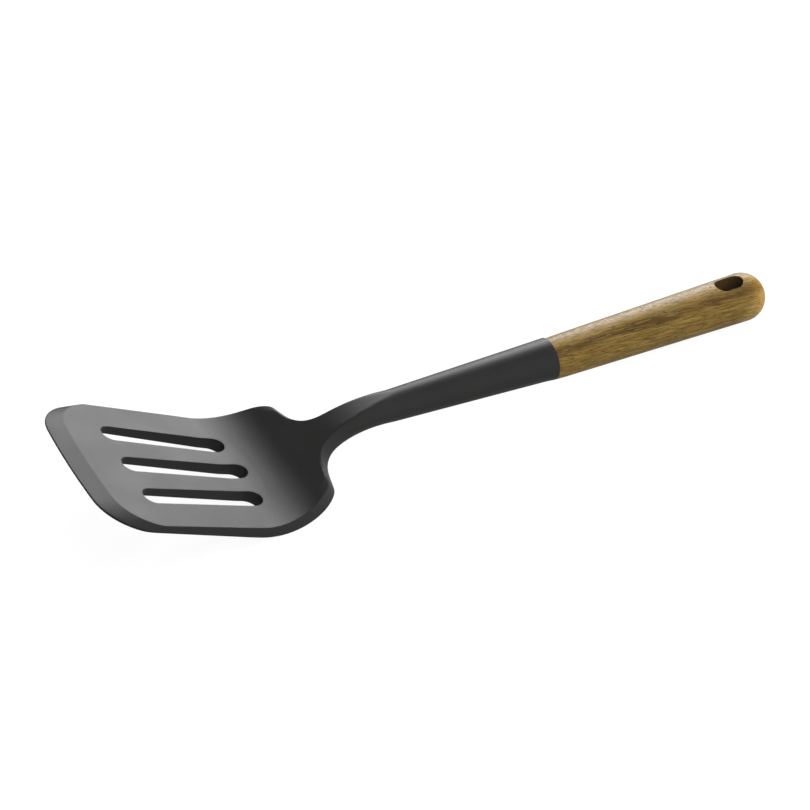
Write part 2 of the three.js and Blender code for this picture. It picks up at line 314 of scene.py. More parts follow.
def curveShare(corners, along):  # share along a curve whose first number only grows
    return turningPoint(lambda share: curvePoint(corners, share)[0] < along, 0.0, 1.0)


def sideHalf(along):  # half width of the blade behind the front corner
    if along < cornerEnd:
        return cornerAcross + math.sqrt(max(cornerRadius ** 2 - (along - cornerAlong) ** 2, 0))
    if along < shoulder:
        return headShape["lipHalfWidth"] - sideTaper * along
    if along < rearEdge:
        return curvePoint(shoulderCurve, curveShare(shoulderCurve, along))[1]
    if along < neckRoot:
        return curvePoint(neckCurve, curveShare(neckCurve, along))[1]
    return neckHalf


def lipAlong(across):  # where the front edge lies at a distance from the middle
    lipRadius = headShape["lipRadius"]
    if across < lipRadius * math.sin(lipAngle):
        return lipRadius - math.sqrt(lipRadius ** 2 - across ** 2)
    reach = min(across - cornerAcross, cornerRadius)
    return cornerAlong - math.sqrt(cornerRadius ** 2 - reach ** 2)


def bevelDrop(along, across):  # how much lower the top lies on the front bevel
    drop = headShape["frontThickness"] - headShape["lipThickness"]
    return drop * clamped(1 - (along - lipAlong(across)) / headShape["bevelWidth"])


def bevelLast():  # last point of the lip whose bevel runs its full width before it meets the side
    def isWidening(along):
        return sideHalf(along) < sideHalf(along + headShape["bevelWidth"])

    return turningPoint(isWidening, cornerAlong - cornerRadius / 2, cornerAlong)


# the blank's columns, from the middle out: slot edges, rings round them, bars between, then the side
barColumns, sideColumns = headGrid["barColumns"], headGrid["sideColumns"]
innerRing = 2 + barColumns
innerEdge, outerEdge, outerRing = innerRing + 1, innerRing + 2, innerRing + 3
lastColumn = outerRing + sideColumns
slotRadius = headShape["slotWidth"] / 2
ringRadius = slotRadius + headGrid["ring"]
slotFront = headShape["slotFront"]
middleRear = flatLength + headShape["middleOverrun"]
outerRear = flatLength + headShape["outerOverrun"]
outerPitch = headShape["slotPitch"]
outerRearPitch = outerPitch - sideTaper * (outerRear - slotFront)
middleSlot = ((slotFront, 0.0), (middleRear, 0.0))
outerSlot = ((slotFront, outerPitch), (outerRear, outerRearPitch))
slotStages = ("front", "straight", "rear")
bevelEnd = bevelLast()


def onBend(along):  # the slots are straight cuts, so their length is stretched where the blade bends up
    past = along - flatLength
    return along if past <= 0 else flatLength + bendRadius * math.asin(past / bendRadius)


def offBend(along):  # the reverse of onBend
    past = along - flatLength
    return along if past <= 0 else flatLength + bendRadius * math.sin(past / bendRadius)


def slotTurn(stage, share):  # how far along a slot, and how far back and out on a rim of radius 1
    run = {"front": 0.0, "straight": share, "rear": 1.0}[stage]
    turn = {"front": share, "straight": 1.0, "rear": 1.0 - share}[stage] * math.pi / 2
    return run, {"front": -1, "straight": 0, "rear": 1}[stage] * math.cos(turn), math.sin(turn)


def slotPoint(ends, side, radius, stage, share):
    (fromAlong, fromAcross), (toAlong, toAcross) = ends
    heading = math.atan2(toAcross - fromAcross, toAlong - fromAlong)
    run, back, out = slotTurn(stage, share)
    back, out = radius * back, side * radius * out
    along = mixed(fromAlong, toAlong, run) + back * math.cos(heading) - out * math.sin(heading)
    across = mixed(fromAcross, toAcross, run) + back * math.sin(heading) + out * math.cos(heading)
    return onBend(along), across


def lipWalk():  # evenly spaced points of the lip and corner, outside the outer slot's line
    fine = []
    tangent = headShape["lipRadius"] * math.sin(lipAngle)
    for across in [outerPitch] + steps(outerPitch, tangent, headGrid["lipSteps"]):
        fine.append((lipAlong(across), across))
    endAngle = math.asin((bevelEnd - cornerAlong) / cornerRadius)
    for angle in steps(lipAngle - math.pi / 2, endAngle, headGrid["cornerSteps"]):
        along = cornerAlong + cornerRadius * math.sin(angle)
        fine.append((along, cornerAcross + cornerRadius * math.cos(angle)))
    lengths = [0.0]
    for before, after in zip(fine, fine[1:]):
        lengths.append(lengths[-1] + math.dist(before, after))
    found = []
    for wanted in steps(0, lengths[-1], sideColumns):
        index = min(range(len(lengths)), key=lambda spot: abs(lengths[spot] - wanted))
        found.append(fine[index])
    return found


cornerPoints = lipWalk()


def columnShare(column, along):  # where a column lies between the middle and the side, behind the slots
    if column <= 1:
        return 0.0
    if column < innerRing:
        return 0.5 * (column - 1) / (barColumns + 1)
    if column <= outerRing:
        return 0.5
    step = column - outerRing
    spread = 0.5 + 0.5 * step / sideColumns
    gathered = 1.0 if step == sideColumns else 0.5 + headGrid["gather"] * step / (sideColumns - 1)
    return mixed(spread, gathered, eased(along, headGrid["gatherEnd"], rearEdge))


def lipPoint(column):
    if column > outerRing:
        return cornerPoints[column - outerRing - 1]
    across = outerPitch * min(columnShare(column, 0) * 2, 1)
    return lipAlong(across), across


def squareStart(ring, edge, stage, share):  # a point on a slot's ring, and one straight out from it
    ringSpot, edgeSpot = slotRow(ring, stage, share), slotRow(edge, stage, share)
    out = (mixed(near, far, headGrid["squareOut"]) for near, far in zip(edgeSpot, ringSpot))
    return [ringSpot, tuple(out)]


def slotRow(column, stage, share):
    if column <= 1:
        return slotPoint(middleSlot, 1, ringRadius if column else slotRadius, stage, share)
    if innerRing <= column <= outerRing:
        radius = slotRadius if column in (innerEdge, outerEdge) else ringRadius
        return slotPoint(outerSlot, -1 if column <= innerEdge else 1, radius, stage, share)
    if column < innerRing:  # between two slots a row leaves both rings squarely
        first, second = squareStart(1, 0, stage, share), squareStart(innerRing, innerEdge, stage, share)
        return curvePoint(first + second[::-1], (column - 1) / (barColumns + 1))
    first = {"front": "sideFront", "straight": "sideSlotStart", "rear": "sideSlotEnd"}[stage]
    last = {"front": "sideSlotStart", "straight": "sideSlotEnd", "rear": "sideRear"}[stage]
    along = mixed(headGrid[first], headGrid[last], share)
    edge, lean = (along, sideHalf(along)), headGrid["lean"]
    start, out = squareStart(outerRing, outerEdge, stage, share)
    aside = ((start[0] + out[0]) / 2, (start[1] + out[1] + lean) / 2)
    corners = [start, aside, (along, edge[1] - lean), edge]
    return curvePoint(corners, (column - outerRing) / sideColumns)


def ringColumn(column):  # away from the slots, the slot edges lie on the rings
    return {0: 1, innerEdge: innerRing, outerEdge: innerRing, outerRing: innerRing}.get(column, column)


def blankPoint(column, stage, share):  # on the tail, share is the distance along
    if stage in slotStages:
        return slotRow(column, stage, share)
    column = ringColumn(column)
    if stage == "tail":
        return share, columnShare(column, share) * sideHalf(share)
    if stage == "bevel":
        along, across = lipPoint(column)
        along += share * headShape["bevelWidth"]
    else:
        if stage == "field":
            start, end = blankPoint(column, "bevel", 1.0), slotRow(column, "front", 0.0)
        else:
            start, end = slotRow(column, "rear", 1.0), blankPoint(column, "tail", headGrid["gatherEnd"])
        along, across = (mixed(first, last, share) for first, last in zip(start, end))
    return along, sideHalf(along) if column == lastColumn else across


def blankRows():
    rows = [("bevel", share) for share in headGrid["bevelShares"]]
    rows += [("field", share) for share in headGrid["fieldShares"]]
    rows += [("front", share) for share in [0.0] + steps(0, 1, headGrid["arcSteps"])]
    rows += [("straight", share) for share in steps(0, 1, headGrid["slotSteps"])]
    rows += [("rear", share) for share in steps(0, 1, headGrid["arcSteps"])]
    rows += [("gather", share) for share in steps(0, 1, headGrid["gatherSteps"])]
    gathered = curveShare(shoulderCurve, headGrid["gatherEnd"])
    tail = [curvePoint(shoulderCurve, share)[0] for share in steps(gathered, 1, headGrid["shoulderSteps"])]
    tail += [curvePoint(neckCurve, share)[0] for share in steps(0, 1, headGrid["neckSteps"])]
    tail += steps(neckRoot, neckFlatEnd, headGrid["flatSteps"])
    tail += steps(neckFlatEnd, shaftEnd, headGrid["shaftSteps"])
    return rows + [("tail", along) for along in tail]


def slotNear(along, across):  # 1 on a slot's wall, 0 from its ring outwards
    unbent = offBend(along)
    gaps = []
    for (_, frontAcross), (rear, rearAcross) in (middleSlot, outerSlot):
        slant = sideTaper if frontAcross else 0.0
        axis = rearAcross + slant * max(rear - unbent, 0.0)
        gaps.append(math.hypot(max(unbent - rear, 0.0), across - axis) - slotRadius)
    return clamped(1 - min(gaps) / headGrid["ring"])


def slotSlip(along, across, depth):  # the slots are cut square to the flat, also where the blade bends up
    if not flatLength < along < headGrid["gatherEnd"]:
        return 0.0
    lean = math.tan((along - flatLength) / bendRadius)
    return slotNear(along, abs(across)) * lean * depth / (1 + depth / bendRadius)


def edgeDroop(along, across):  # the rim is rounder along the shoulder and the rear edge
    grown = eased(along, rearEdge - headShape["rearRoundLead"], rearEdge)
    faded = eased(along, rearEdge, rearEdge + headShape["rearRoundRun"])
    radius = headShape["rearRound"] * grown * (1 - faded)
    if radius == 0:
        return 0.0
    half, step = sideHalf(along), headGrid["slopeStep"]
    inside = (half - across) / math.hypot(1, (sideHalf(along + step) - half) / step)
    return radius * (1 - math.sqrt(1 - (1 - clamped(inside / radius)) ** 2))


def formedPoint(co):  # a point of the flat blank, bent and rounded into the finished head
    along, across, level = co.x / mm, co.y / mm, -co.z / mm
    blank, rim = headGrid["blank"], headShape["rimRound"]
    top = bevelDrop(along, abs(across)) + edgeDroop(along, abs(across))
    bottom = thicknessAt(along)
    if level < rim:
        depth = top + level
    elif level > blank - rim:
        depth = bottom - (blank - level)
    else:
        depth = mixed(top + rim, bottom - rim, (level - rim) / (blank - 2 * rim))
    rounded = eased(along, rearEdge, neckRoot)
    if rounded > 0:
        half = sideHalf(along)
        share = min(abs(across) / half, 1.0)
        rodAcross, rodDepth = rodPoint(max(along, neckRoot), share, level / blank)
        across = mixed(across, math.copysign(rodAcross * half / neckHalf, across), rounded)
        depth = mixed(depth, rodDepth, rounded)
    return headPlace(along - slotSlip(along, across, depth), across, depth)


def rodPoint(along, share, down):  # a point round the neck's section: round, with a soft-edged flat on top
    radius = shaftRadius(along)
    fade = clamped((neckFlatEnd - along) / (neckFlatEnd - neckRoot))
    flat = radius - headShape["neckFlatDepth"] * fade
    edgeTurn, wallTurn = math.atan2(neckHalf, neckFlatDrop), math.radians(headGrid["wallTurn"])
    if down < 0.5:
        turn = math.atan(share * math.tan(edgeTurn)) + (wallTurn - edgeTurn) * down
    else:
        turn = mixed(edgeTurn, wallTurn, down) + (math.pi - wallTurn) * (1 - share)
    reach = radius
    if turn < math.radians(headGrid["flatTurn"]):
        softness = headShape["flatSoftness"] + headShape["creaseSoftness"] * fade
        over = (flat / math.cos(turn) - radius) / softness
        over = max(min(over, headGrid["softReach"]), -headGrid["softReach"])
        reach = radius - softness * math.log1p(math.exp(-over))
    return reach * math.sin(turn), flat - reach * math.cos(turn)


def makeHead():
    rows = blankRows()
    rowCount, columnCount = len(rows), lastColumn + 1
    slotRows = [index for index, (stage, _) in enumerate(rows) if stage in slotStages]
    head = addGrid("siliconeHead", rowCount, columnCount)
    blank = headGrid["blank"] * mm

    def isVoid(face):
        row, column = (int(value) for value in gridSpot(face.center, rowCount, columnCount))
        if column == innerEdge:
            return True
        besideSlot = column in (0, innerRing, outerEdge)
        return besideSlot and not slotRows[0] <= row < slotRows[-1]

    def isRearEnd(face):
        atEnd = face.center.x > (shaftEnd - headGrid["endReach"]) * mm
        return atEnd and face.normal.x > headGrid["endFacing"]

    def isUpright(edge, first, second):  # all walls are still upright here
        return abs(first.z - second.z) > headGrid["wallShare"] * blank

    def isFlat(face):
        return abs(face.normal.z) > headGrid["flatFacing"]

    deleteFaces(head, isVoid)
    for vertex in head.data.vertices:  # lay the grid out as the flat blank with its slots
        row, column = (round(value) for value in gridSpot(vertex.co, rowCount, columnCount))
        along, across = blankPoint(column, *rows[row])
        vertex.co = (along * mm, across * mm, 0)
    mergeAndFace(head)
    addModifier(head, "MIRROR", use_axis=(False, True, False), merge_threshold=mergeGap)
    mergeAndFace(head)
    if sum(face.normal.z for face in head.data.polygons) < 0:
        head.data.flip_normals()
    addModifier(head, "SOLIDIFY", thickness=blank, offset=-1)
    deleteFaces(head, isRearEnd)
    pickEdges(head, isUpright)
    bpy.ops.mesh.subdivide(number_cuts=headGrid["wallCuts"])
    bpy.ops.mesh.select_all(action="DESELECT")
    bpy.ops.object.mode_set(mode="OBJECT")
    roundEdges(head, rimKeys(head, isFlat), headShape["rimRound"])
    for vertex in head.data.vertices:
        vertex.co = formedPoint(vertex.co)
    pickOpenEdges()  # close the end that meets the handle
    bpy.ops.mesh.edge_face_add()
    bpy.ops.object.mode_set(mode="OBJECT")
    cap = max(head.data.polygons, key=lambda face: len(face.vertices))
    roundEdges(head, set(cap.edge_keys), headShape["sleeveRound"])
    mergeAndFace(head)
    smoothShade(head)
    print("head formed:", len(head.data.polygons), "faces")
    return head


head = makeHead()

# the handle: turned hardwood, lengths in millimetres, angles in degrees
handleShape = {
    "slope": 0.3, "drop": 0.5, "gap": 0.1, "length": 102.7, "endRadius": 10.2, "endDome": 9.8,
    "jointRadius": 8.6, "jointTaper": 0.12, "jointTaperRun": 5, "jointRound": 0.2,
    "holeLength": 12.7, "holeWidth": 7.7, "holeInset": 17.3, "holeRound": 0.25,
    "boreRadius": 2.8, "boreDepth": 52,
}
# how the quarter is divided before it is rolled up, and limits that find the hole's wall
handleGrid = {
    "sideColumns": 12, "ring": 1.7, "arcSteps": 8, "holeSteps": 3, "gripRows": 18, "domeRows": 16,
    "jointSteps": 4, "holeLead": 1.5, "domeLead": 0.9, "wallMargin": 0.3, "wallReach": 7, "wallMiddle": 4,
}

domeStart = handleShape["length"] - handleShape["endDome"]
holeCentre = handleShape["length"] - handleShape["holeInset"]
holeRadius = handleShape["holeWidth"] / 2
holeRun = (handleShape["holeLength"] - handleShape["holeWidth"]) / 2
holeEnds = (holeCentre - holeRun, holeCentre + holeRun)
holeRing = holeRadius + handleGrid["ring"]


def gripRadius(along):  # radius of the handle, domed at its end
    if along <= domeStart:
        taper = handleShape["jointTaper"] * (1 - eased(along, 0, handleShape["jointTaperRun"]))
        return mixed(handleShape["jointRadius"], handleShape["endRadius"], along / domeStart) - taper
    over = clamped((along - domeStart) / handleShape["endDome"])
    return handleShape["endRadius"] * math.sqrt(max(1 - over * over, 0))


def handleRows():
    rounding, joint = handleShape["jointRound"], gripRadius(0)
    depth, bore = handleShape["boreDepth"], handleShape["boreRadius"]
    rows = [("turned", depth, 0.0), ("turned", depth, bore), ("turned", 0.0, bore)]
    for turn in [0.0] + steps(0, math.pi / 2, handleGrid["jointSteps"]):
        out = joint - rounding + rounding * math.sin(turn)
        rows.append(("turned", rounding * (1 - math.cos(turn)), out))
    gripEnd = holeEnds[0] - holeRing - handleGrid["holeLead"]
    for along in steps(rounding, gripEnd, handleGrid["gripRows"]):
        rows.append(("turned", along, gripRadius(along)))
    rows += [("front", share, 0) for share in [0.0] + steps(0, 1, handleGrid["arcSteps"])]
    rows += [("straight", share, 0) for share in steps(0, 1, handleGrid["holeSteps"])]
    rows += [("rear", share, 0) for share in steps(0, 1, handleGrid["arcSteps"])]
    domeFrom = holeEnds[1] + holeRing + handleGrid["domeLead"]
    first = math.asin((domeFrom - domeStart) / handleShape["endDome"])
    for turn in [first] + steps(first, math.pi / 2, handleGrid["domeRows"]):
        along = domeStart + handleShape["endDome"] * math.sin(turn)
        rows.append(("turned", along, handleShape["endRadius"] * math.cos(turn)))
    return rows


def handlePoint(column, stage, share, radius):  # on turned rows, share is the distance along
    part = max(column - 1, 0) / handleGrid["sideColumns"]
    if stage == "turned":
        along, turn = share, part * math.pi / 2
    else:
        run, back, out = slotTurn(stage, share)
        size = holeRing if column else holeRadius
        middle = mixed(*holeEnds, run)
        inner = middle + back * size
        outer = middle + {"front": share - 1, "straight": 0, "rear": share}[stage] * holeRing
        along = mixed(inner, outer, part)
        turn = mixed(math.asin(out * size / gripRadius(inner)), math.pi / 2, part)
        radius = gripRadius(along)
    return along, radius * math.sin(turn), radius * math.cos(turn)


def handlePlace(along):  # a point on the handle's axis, measured from its joint face
    joint = headPlace(shaftEnd, 0, headShape["sleeveRadius"] + handleShape["drop"])
    slope = math.radians(handleShape["slope"])
    return joint + Vector((math.cos(slope), 0, -math.sin(slope))) * (handleShape["gap"] + along) * mm


def makeHandle():
    rows = handleRows()
    rowCount, columnCount = len(rows), handleGrid["sideColumns"] + 2
    holeRows = [index for index, row in enumerate(rows) if row[0] in slotStages]
    handle = addGrid("woodHandle", rowCount, columnCount)

    def isVoid(face):
        row, column = (int(value) for value in gridSpot(face.center, rowCount, columnCount))
        return column == 0 and not holeRows[0] <= row < holeRows[-1]

    def isHoleWall(face):  # one of the long faces between the hole's two mouths
        wide = holeRadius + handleGrid["wallMargin"]
        low, high = (holeEnds[0] - wide) * mm, (holeEnds[1] + wide) * mm
        nearHole = low < face.center.x < high and abs(face.center.y) < wide * mm
        reach = max(abs(handle.data.vertices[spot].co.z) for spot in face.vertices)
        isLong = reach > handleGrid["wallReach"] * mm
        return nearHole and isLong and abs(face.center.z) < handleGrid["wallMiddle"] * mm

    deleteFaces(handle, isVoid)
    for vertex in handle.data.vertices:  # roll the grid up into a quarter of the handle
        row, column = (round(value) for value in gridSpot(vertex.co, rowCount, columnCount))
        vertex.co = Vector(handlePoint(column, *rows[row])) * mm
    mergeAndFace(handle)
    addModifier(handle, "MIRROR", use_axis=(False, True, True), merge_threshold=mergeGap)
    mergeAndFace(handle)
    pickOpenEdges()  # join the two rims of the hanging hole
    bpy.ops.mesh.bridge_edge_loops()
    bpy.ops.object.mode_set(mode="OBJECT")
    mergeAndFace(handle)
    roundEdges(handle, rimKeys(handle, lambda face: not isHoleWall(face)), handleShape["holeRound"])
    mergeAndFace(handle)
    takeUp(handle)
    handle.rotation_euler = (0, math.radians(handleShape["slope"]), 0)
    handle.location = handlePlace(0)
    bpy.ops.object.transform_apply(location=True, rotation=True, scale=True)
    smoothShade(handle)
    print("handle turned:", len(handle.data.polygons), "faces")
    return handle


handle = makeHandle()


# shader helpers
def addNode(tree, kind, inputs=None, **settings):
    made = tree.nodes.new(kind)
    for name, value in settings.items():
        setattr(made, name, value)
    for name, value in (inputs or {}).items():
        if isinstance(value, bpy.types.NodeSocket):
            tree.links.new(value, made.inputs[name])
        else:
            made.inputs[name].default_value = value
    return made


def noise(tree, vector, scale, detail, roughness=0.5):
    inputs = {"Vector": vector, "Scale": scale, "Detail": detail, "Roughness": roughness}
    return addNode(tree, "ShaderNodeTexNoise", inputs).outputs["Fac"]


def maths(tree, operation, first, second=0.0, third=0.0):
    inputs = {0: first, 1: second, 2: third}
    return addNode(tree, "ShaderNodeMath", inputs, operation=operation).outputs[0]


def ranged(tree, value, low, high, start=0.0, end=1.0):
    inputs = {"Value": value, "From Min": low, "From Max": high, "To Min": start, "To Max": end}
    return addNode(tree, "ShaderNodeMapRange", inputs, interpolation_type="SMOOTHSTEP").outputs["Result"]


def vectorMaths(tree, operation, first, second=(0, 0, 0), third=(0, 0, 0)):
    made = addNode(tree, "ShaderNodeVectorMath", {0: first, 1: second, 2: third}, operation=operation)
    return made.outputs["Value" if operation in ("DISTANCE", "DOT_PRODUCT", "LENGTH") else "Vector"]


def grain(tree, vector, layer):  # noise with a scale of its own along each axis
    inputs = {"Vector": vector, "Scale": layer["scale"]}
    scaled = addNode(tree, "ShaderNodeMapping", inputs).outputs["Vector"]
    return noise(tree, scaled, 1.0, layer["detail"], layer["roughness"])


def blended(tree, share, first, second):
    inputs = {0: share, 6: first, 7: second}  # the colour sockets of a mix node
    return addNode(tree, "ShaderNodeMix", inputs, data_type="RGBA").outputs[2]


def tinted(tree, colour, mask, share, tint):  # a share of the tint where the mask is
    return blended(tree, maths(tree, "MULTIPLY", mask, share), colour, tint)


def shade(red, green, blue):
    return (red, green, blue, 1.0)


white = shade(1, 1, 1)


def newMaterial(name, **sockets):
    material = bpy.data.materials.new(name)
    material.use_nodes = True
    shader = material.node_tree.nodes["Principled BSDF"]
    for socket, value in sockets.items():
        shader.inputs[socket.replace("_", " ")].default_value = value
    place = material.node_tree.nodes.new("ShaderNodeTexCoord").outputs["Object"]
    return material, material.node_tree, shader, place


def finishShader(tree, shader, colour, roughness, height, bump):
    tree.links.new(colour, shader.inputs["Base Color"])
    tree.links.new(roughness, shader.inputs["Roughness"])
    inputs = {"Height": height, "Distance": bump["depth"], "Strength": bump["strength"]}
    tree.links.new(addNode(tree, "ShaderNodeBump", inputs).outputs["Normal"], shader.inputs["Normal"])


def dress(piece, material):
    piece.data.materials.clear()
    piece.data.materials.append(material)


# mottle shared by all the finishes: soft clouds, a fine skin and sparse specks
mottleLook = {
    "cloudDetail": 3.0, "skinDetail": 2.0, "skinRoughness": 0.6,
    "speckScale": 0.45, "speckDetail": 1.0, "speckBand": (0.72, 0.8),
}


def mottleGroup():
    look = mottleLook
    group = bpy.data.node_groups.new("surfaceMottle", "ShaderNodeTree")
    group.interface.new_socket("Place", in_out="INPUT", socket_type="NodeSocketVector")
    for name in ("Cloud Scale", "Skin Scale"):
        group.interface.new_socket(name, in_out="INPUT", socket_type="NodeSocketFloat")
    for name in ("Cloud", "Skin", "Speck"):
        group.interface.new_socket(name, in_out="OUTPUT", socket_type="NodeSocketFloat")
    given = group.nodes.new("NodeGroupInput").outputs
    cloud = noise(group, given["Place"], given["Cloud Scale"], look["cloudDetail"])
    skin = noise(group, given["Place"], given["Skin Scale"], look["skinDetail"], look["skinRoughness"])
    speckScale = maths(group, "MULTIPLY", given["Skin Scale"], look["speckScale"])
    speck = noise(group, given["Place"], speckScale, look["speckDetail"])
    speck = ranged(group, speck, *look["speckBand"])
    result = group.nodes.new("NodeGroupOutput").inputs
    for name, value in (("Cloud", cloud), ("Skin", skin), ("Speck", speck)):
        group.links.new(value, result[name])
    return group


mottle = mottleGroup()


def addMottle(tree, place, look):
    inputs = {"Place": place, "Cloud Scale": look["cloudScale"], "Skin Scale": look["skinScale"]}
    return addNode(tree, "ShaderNodeGroup", inputs, node_tree=mottle).outputs


siliconeLook = {
    "dark": shade(0.0126, 0.0126, 0.0123), "light": shade(0.0166, 0.0166, 0.016),
    "speck": shade(0.05, 0.05, 0.048), "speckShare": 0.25, "cloudScale": 60.0, "skinScale": 2600.0,
    "ior": 1.38, "smooth": 0.42, "rough": 0.49, "roughBand": (0.3, 0.7),
    "cloudRough": 0.5, "skinRough": 0.5, "bump": {"depth": 0.00004, "strength": 0.35},
}


def siliconeMaterial():
    look = siliconeLook
    material, tree, shader, place = newMaterial("softSilicone", IOR=look["ior"])
    spots = addMottle(tree, place, look)
    colour = blended(tree, spots["Cloud"], look["dark"], look["light"])
    colour = tinted(tree, colour, spots["Speck"], look["speckShare"], look["speck"])
    cloud = maths(tree, "MULTIPLY", spots["Cloud"], look["cloudRough"])
    skin = maths(tree, "MULTIPLY", spots["Skin"], look["skinRough"])
    rough = ranged(tree, maths(tree, "ADD", cloud, skin), *look["roughBand"], look["smooth"], look["rough"])
    finishShader(tree, shader, colour, rough, spots["Skin"], look["bump"])
    return material


woodLook = {
    "pale": shade(0.24, 0.153, 0.037), "tan": shade(0.126, 0.074, 0.007),
    "brown": shade(0.064, 0.032, 0.0018), "warm": shade(0.21, 0.11, 0.015),
    "pore": shade(0.035, 0.018, 0.003), "holeWallDark": shade(0.08, 0.048, 0.018),
    "ior": 1.44, "smooth": 0.36, "rough": 0.52, "roughBand": (0.3, 1.0), "poreRough": 0.3,
    "bump": {"depth": 0.0002, "strength": 0.45}, "threadDepth": 0.35,
    "cloudScale": 55.0, "skinScale": 3200.0,
    # layers of grain, long along the handle
    "drift": {"scale": (14, 45, 45), "detail": 3.0, "roughness": 0.5},
    "wobble": {"scale": (25, 110, 110), "detail": 2.0, "roughness": 0.5},
    "streak": {"scale": (28, 800, 800), "detail": 4.0, "roughness": 0.62},
    "thread": {"scale": (80, 2300, 2300), "detail": 3.0, "roughness": 0.6},
    "fleck": {"scale": (120, 3000, 3000), "detail": 0.0, "roughness": 0.5},
    "dash": {"scale": (330, 3400, 3400), "detail": 1.0, "roughness": 0.4},
    "driftReach": 0.004, "grainTilt": (0, -0.05, 0.05), "threadBand": (0.34, 0.66),
    # growth rings round a pith outside the handle
    "pith": (0.0, 0.0278, 0.0392), "ringGap": 0.012, "ringShift": 0.71, "ringWobble": 0.5,
    "ringBand": (0.0, 0.23),
    # a painted highlight along the top and far side, and a paler lower near side of the dome end, each
    # given by its direction and where it starts and ends in metres
    "paintedHighlightWay": (-0.007, 0.5, 0.866), "paintedHighlightBand": (0.017, 0.0188),
    "endWay": (0.75, -0.45, -0.48), "endBand": (0.0995, 0.1055),
    # how much each layer counts in the tone, the painted highlight among them, and which tones turn tan and
    # pale
    "streakTone": 0.4, "ringTone": 0.25, "threadTone": 0.22, "paintedHighlightTone": 0.24, "endTone": 0.26,
    "tanBand": (0.3, 0.56), "paleBand": (0.54, 0.84), "warmBand": (0.4, 0.75), "warmShare": 0.3,
    "paleFleckBand": (0.58, 0.72), "paleFleckShare": 0.45,
    "darkFleckBand": (0.42, 0.29), "darkFleckShare": 0.6,
    "poreCrowding": 0.04, "poreBand": (0.565, 0.66), "poreShare": 0.8,
    "holeWallDarkBand": (0.00014, -0.00002),  # from the hole's wall outwards, in metres
}


def woodMaterial():
    look = woodLook
    material, tree, shader, place = newMaterial("oiledWood", IOR=look["ior"])
    drift = grain(tree, place, look["drift"])
    sway = addNode(tree, "ShaderNodeCombineXYZ", {"Y": drift, "Z": drift}).outputs["Vector"]
    swayed = vectorMaths(tree, "MULTIPLY_ADD", sway, (look["driftReach"],) * 3, place)
    away = vectorMaths(tree, "DISTANCE", vectorMaths(tree, "MULTIPLY", swayed, (0, 1, 1)), look["pith"])
    turns = maths(tree, "MULTIPLY_ADD", away, 1 / look["ringGap"], look["ringShift"])
    turns = maths(tree, "MULTIPLY_ADD", grain(tree, place, look["wobble"]), look["ringWobble"], turns)
    ring = ranged(tree, maths(tree, "PINGPONG", maths(tree, "FRACT", turns), 0.5), *look["ringBand"])
    inputs = {"Vector": swayed, "Rotation": look["grainTilt"]}
    tilted = addNode(tree, "ShaderNodeMapping", inputs).outputs["Vector"]
    streak, thread = grain(tree, tilted, look["streak"]), grain(tree, tilted, look["thread"])
    fleck, dash = grain(tree, tilted, look["fleck"]), grain(tree, tilted, look["dash"])
    layers = {"ringTone": ring, "threadTone": ranged(tree, thread, *look["threadBand"])}
    # the first side is a painted highlight, paler wood along the top and far side of the handle; the second
    # makes the lower near side of the dome end paler
    for side in ("paintedHighlight", "end"):
        reach = vectorMaths(tree, "DOT_PRODUCT", swayed, look[side + "Way"])
        layers[side + "Tone"] = ranged(tree, reach, *look[side + "Band"])
    tone = maths(tree, "MULTIPLY", streak, look["streakTone"])
    for name, layer in layers.items():
        tone = maths(tree, "MULTIPLY_ADD", layer, look[name], tone)
    crowd = maths(tree, "MULTIPLY", maths(tree, "SUBTRACT", 0.5, ring), look["poreCrowding"])
    pore = ranged(tree, maths(tree, "ADD", dash, crowd), *look["poreBand"])
    warm = ranged(tree, addMottle(tree, place, look)["Cloud"], *look["warmBand"])
    paleFleck = ranged(tree, fleck, *look["paleFleckBand"])
    darkFleck = ranged(tree, fleck, *look["darkFleckBand"])
    colour = blended(tree, ranged(tree, tone, *look["tanBand"]), look["brown"], look["tan"])
    colour = blended(tree, ranged(tree, tone, *look["paleBand"]), colour, look["pale"])
    colour = tinted(tree, colour, warm, look["warmShare"], look["warm"])
    colour = tinted(tree, colour, paleFleck, look["paleFleckShare"], look["pale"])
    colour = tinted(tree, colour, darkFleck, look["darkFleckShare"], look["brown"])
    colour = tinted(tree, colour, pore, look["poreShare"], look["pore"])
    colour = blended(tree, holeMask(tree, place), colour, look["holeWallDark"])
    worn = maths(tree, "MULTIPLY_ADD", pore, look["poreRough"], thread)
    rough = ranged(tree, worn, *look["roughBand"], look["smooth"], look["rough"])
    height = maths(tree, "SUBTRACT", maths(tree, "MULTIPLY", thread, look["threadDepth"]), pore)
    finishShader(tree, shader, colour, rough, height, look["bump"])
    return material


def holeMask(tree, place):  # the wall of the hanging hole is coloured darker than the rest of the handle
    moved = vectorMaths(tree, "SUBTRACT", place, tuple(handlePlace(holeCentre)))
    parts = addNode(tree, "ShaderNodeSeparateXYZ", {"Vector": moved}).outputs
    past = maths(tree, "SUBTRACT", maths(tree, "ABSOLUTE", parts["X"]), holeRun * mm)
    inputs = {"X": maths(tree, "MAXIMUM", past, 0.0), "Y": parts["Y"]}
    flat = addNode(tree, "ShaderNodeCombineXYZ", inputs).outputs["Vector"]
    outer, inner = (holeRadius * mm + margin for margin in woodLook["holeWallDarkBand"])
    return ranged(tree, vectorMaths(tree, "LENGTH", flat), outer, inner)


nylonLook = {
    "dark": shade(0.011, 0.011, 0.01), "light": shade(0.02, 0.02, 0.018),
    "cloudScale": 90.0, "skinScale": 1500.0,
    "fibre": {"scale": (400, 1800, 1800), "detail": 2.0, "roughness": 0.5},
    "ior": 1.53, "smooth": 0.42, "rough": 0.58, "roughBand": (0.3, 0.7),
    "bump": {"depth": 0.00005, "strength": 0.4},
}


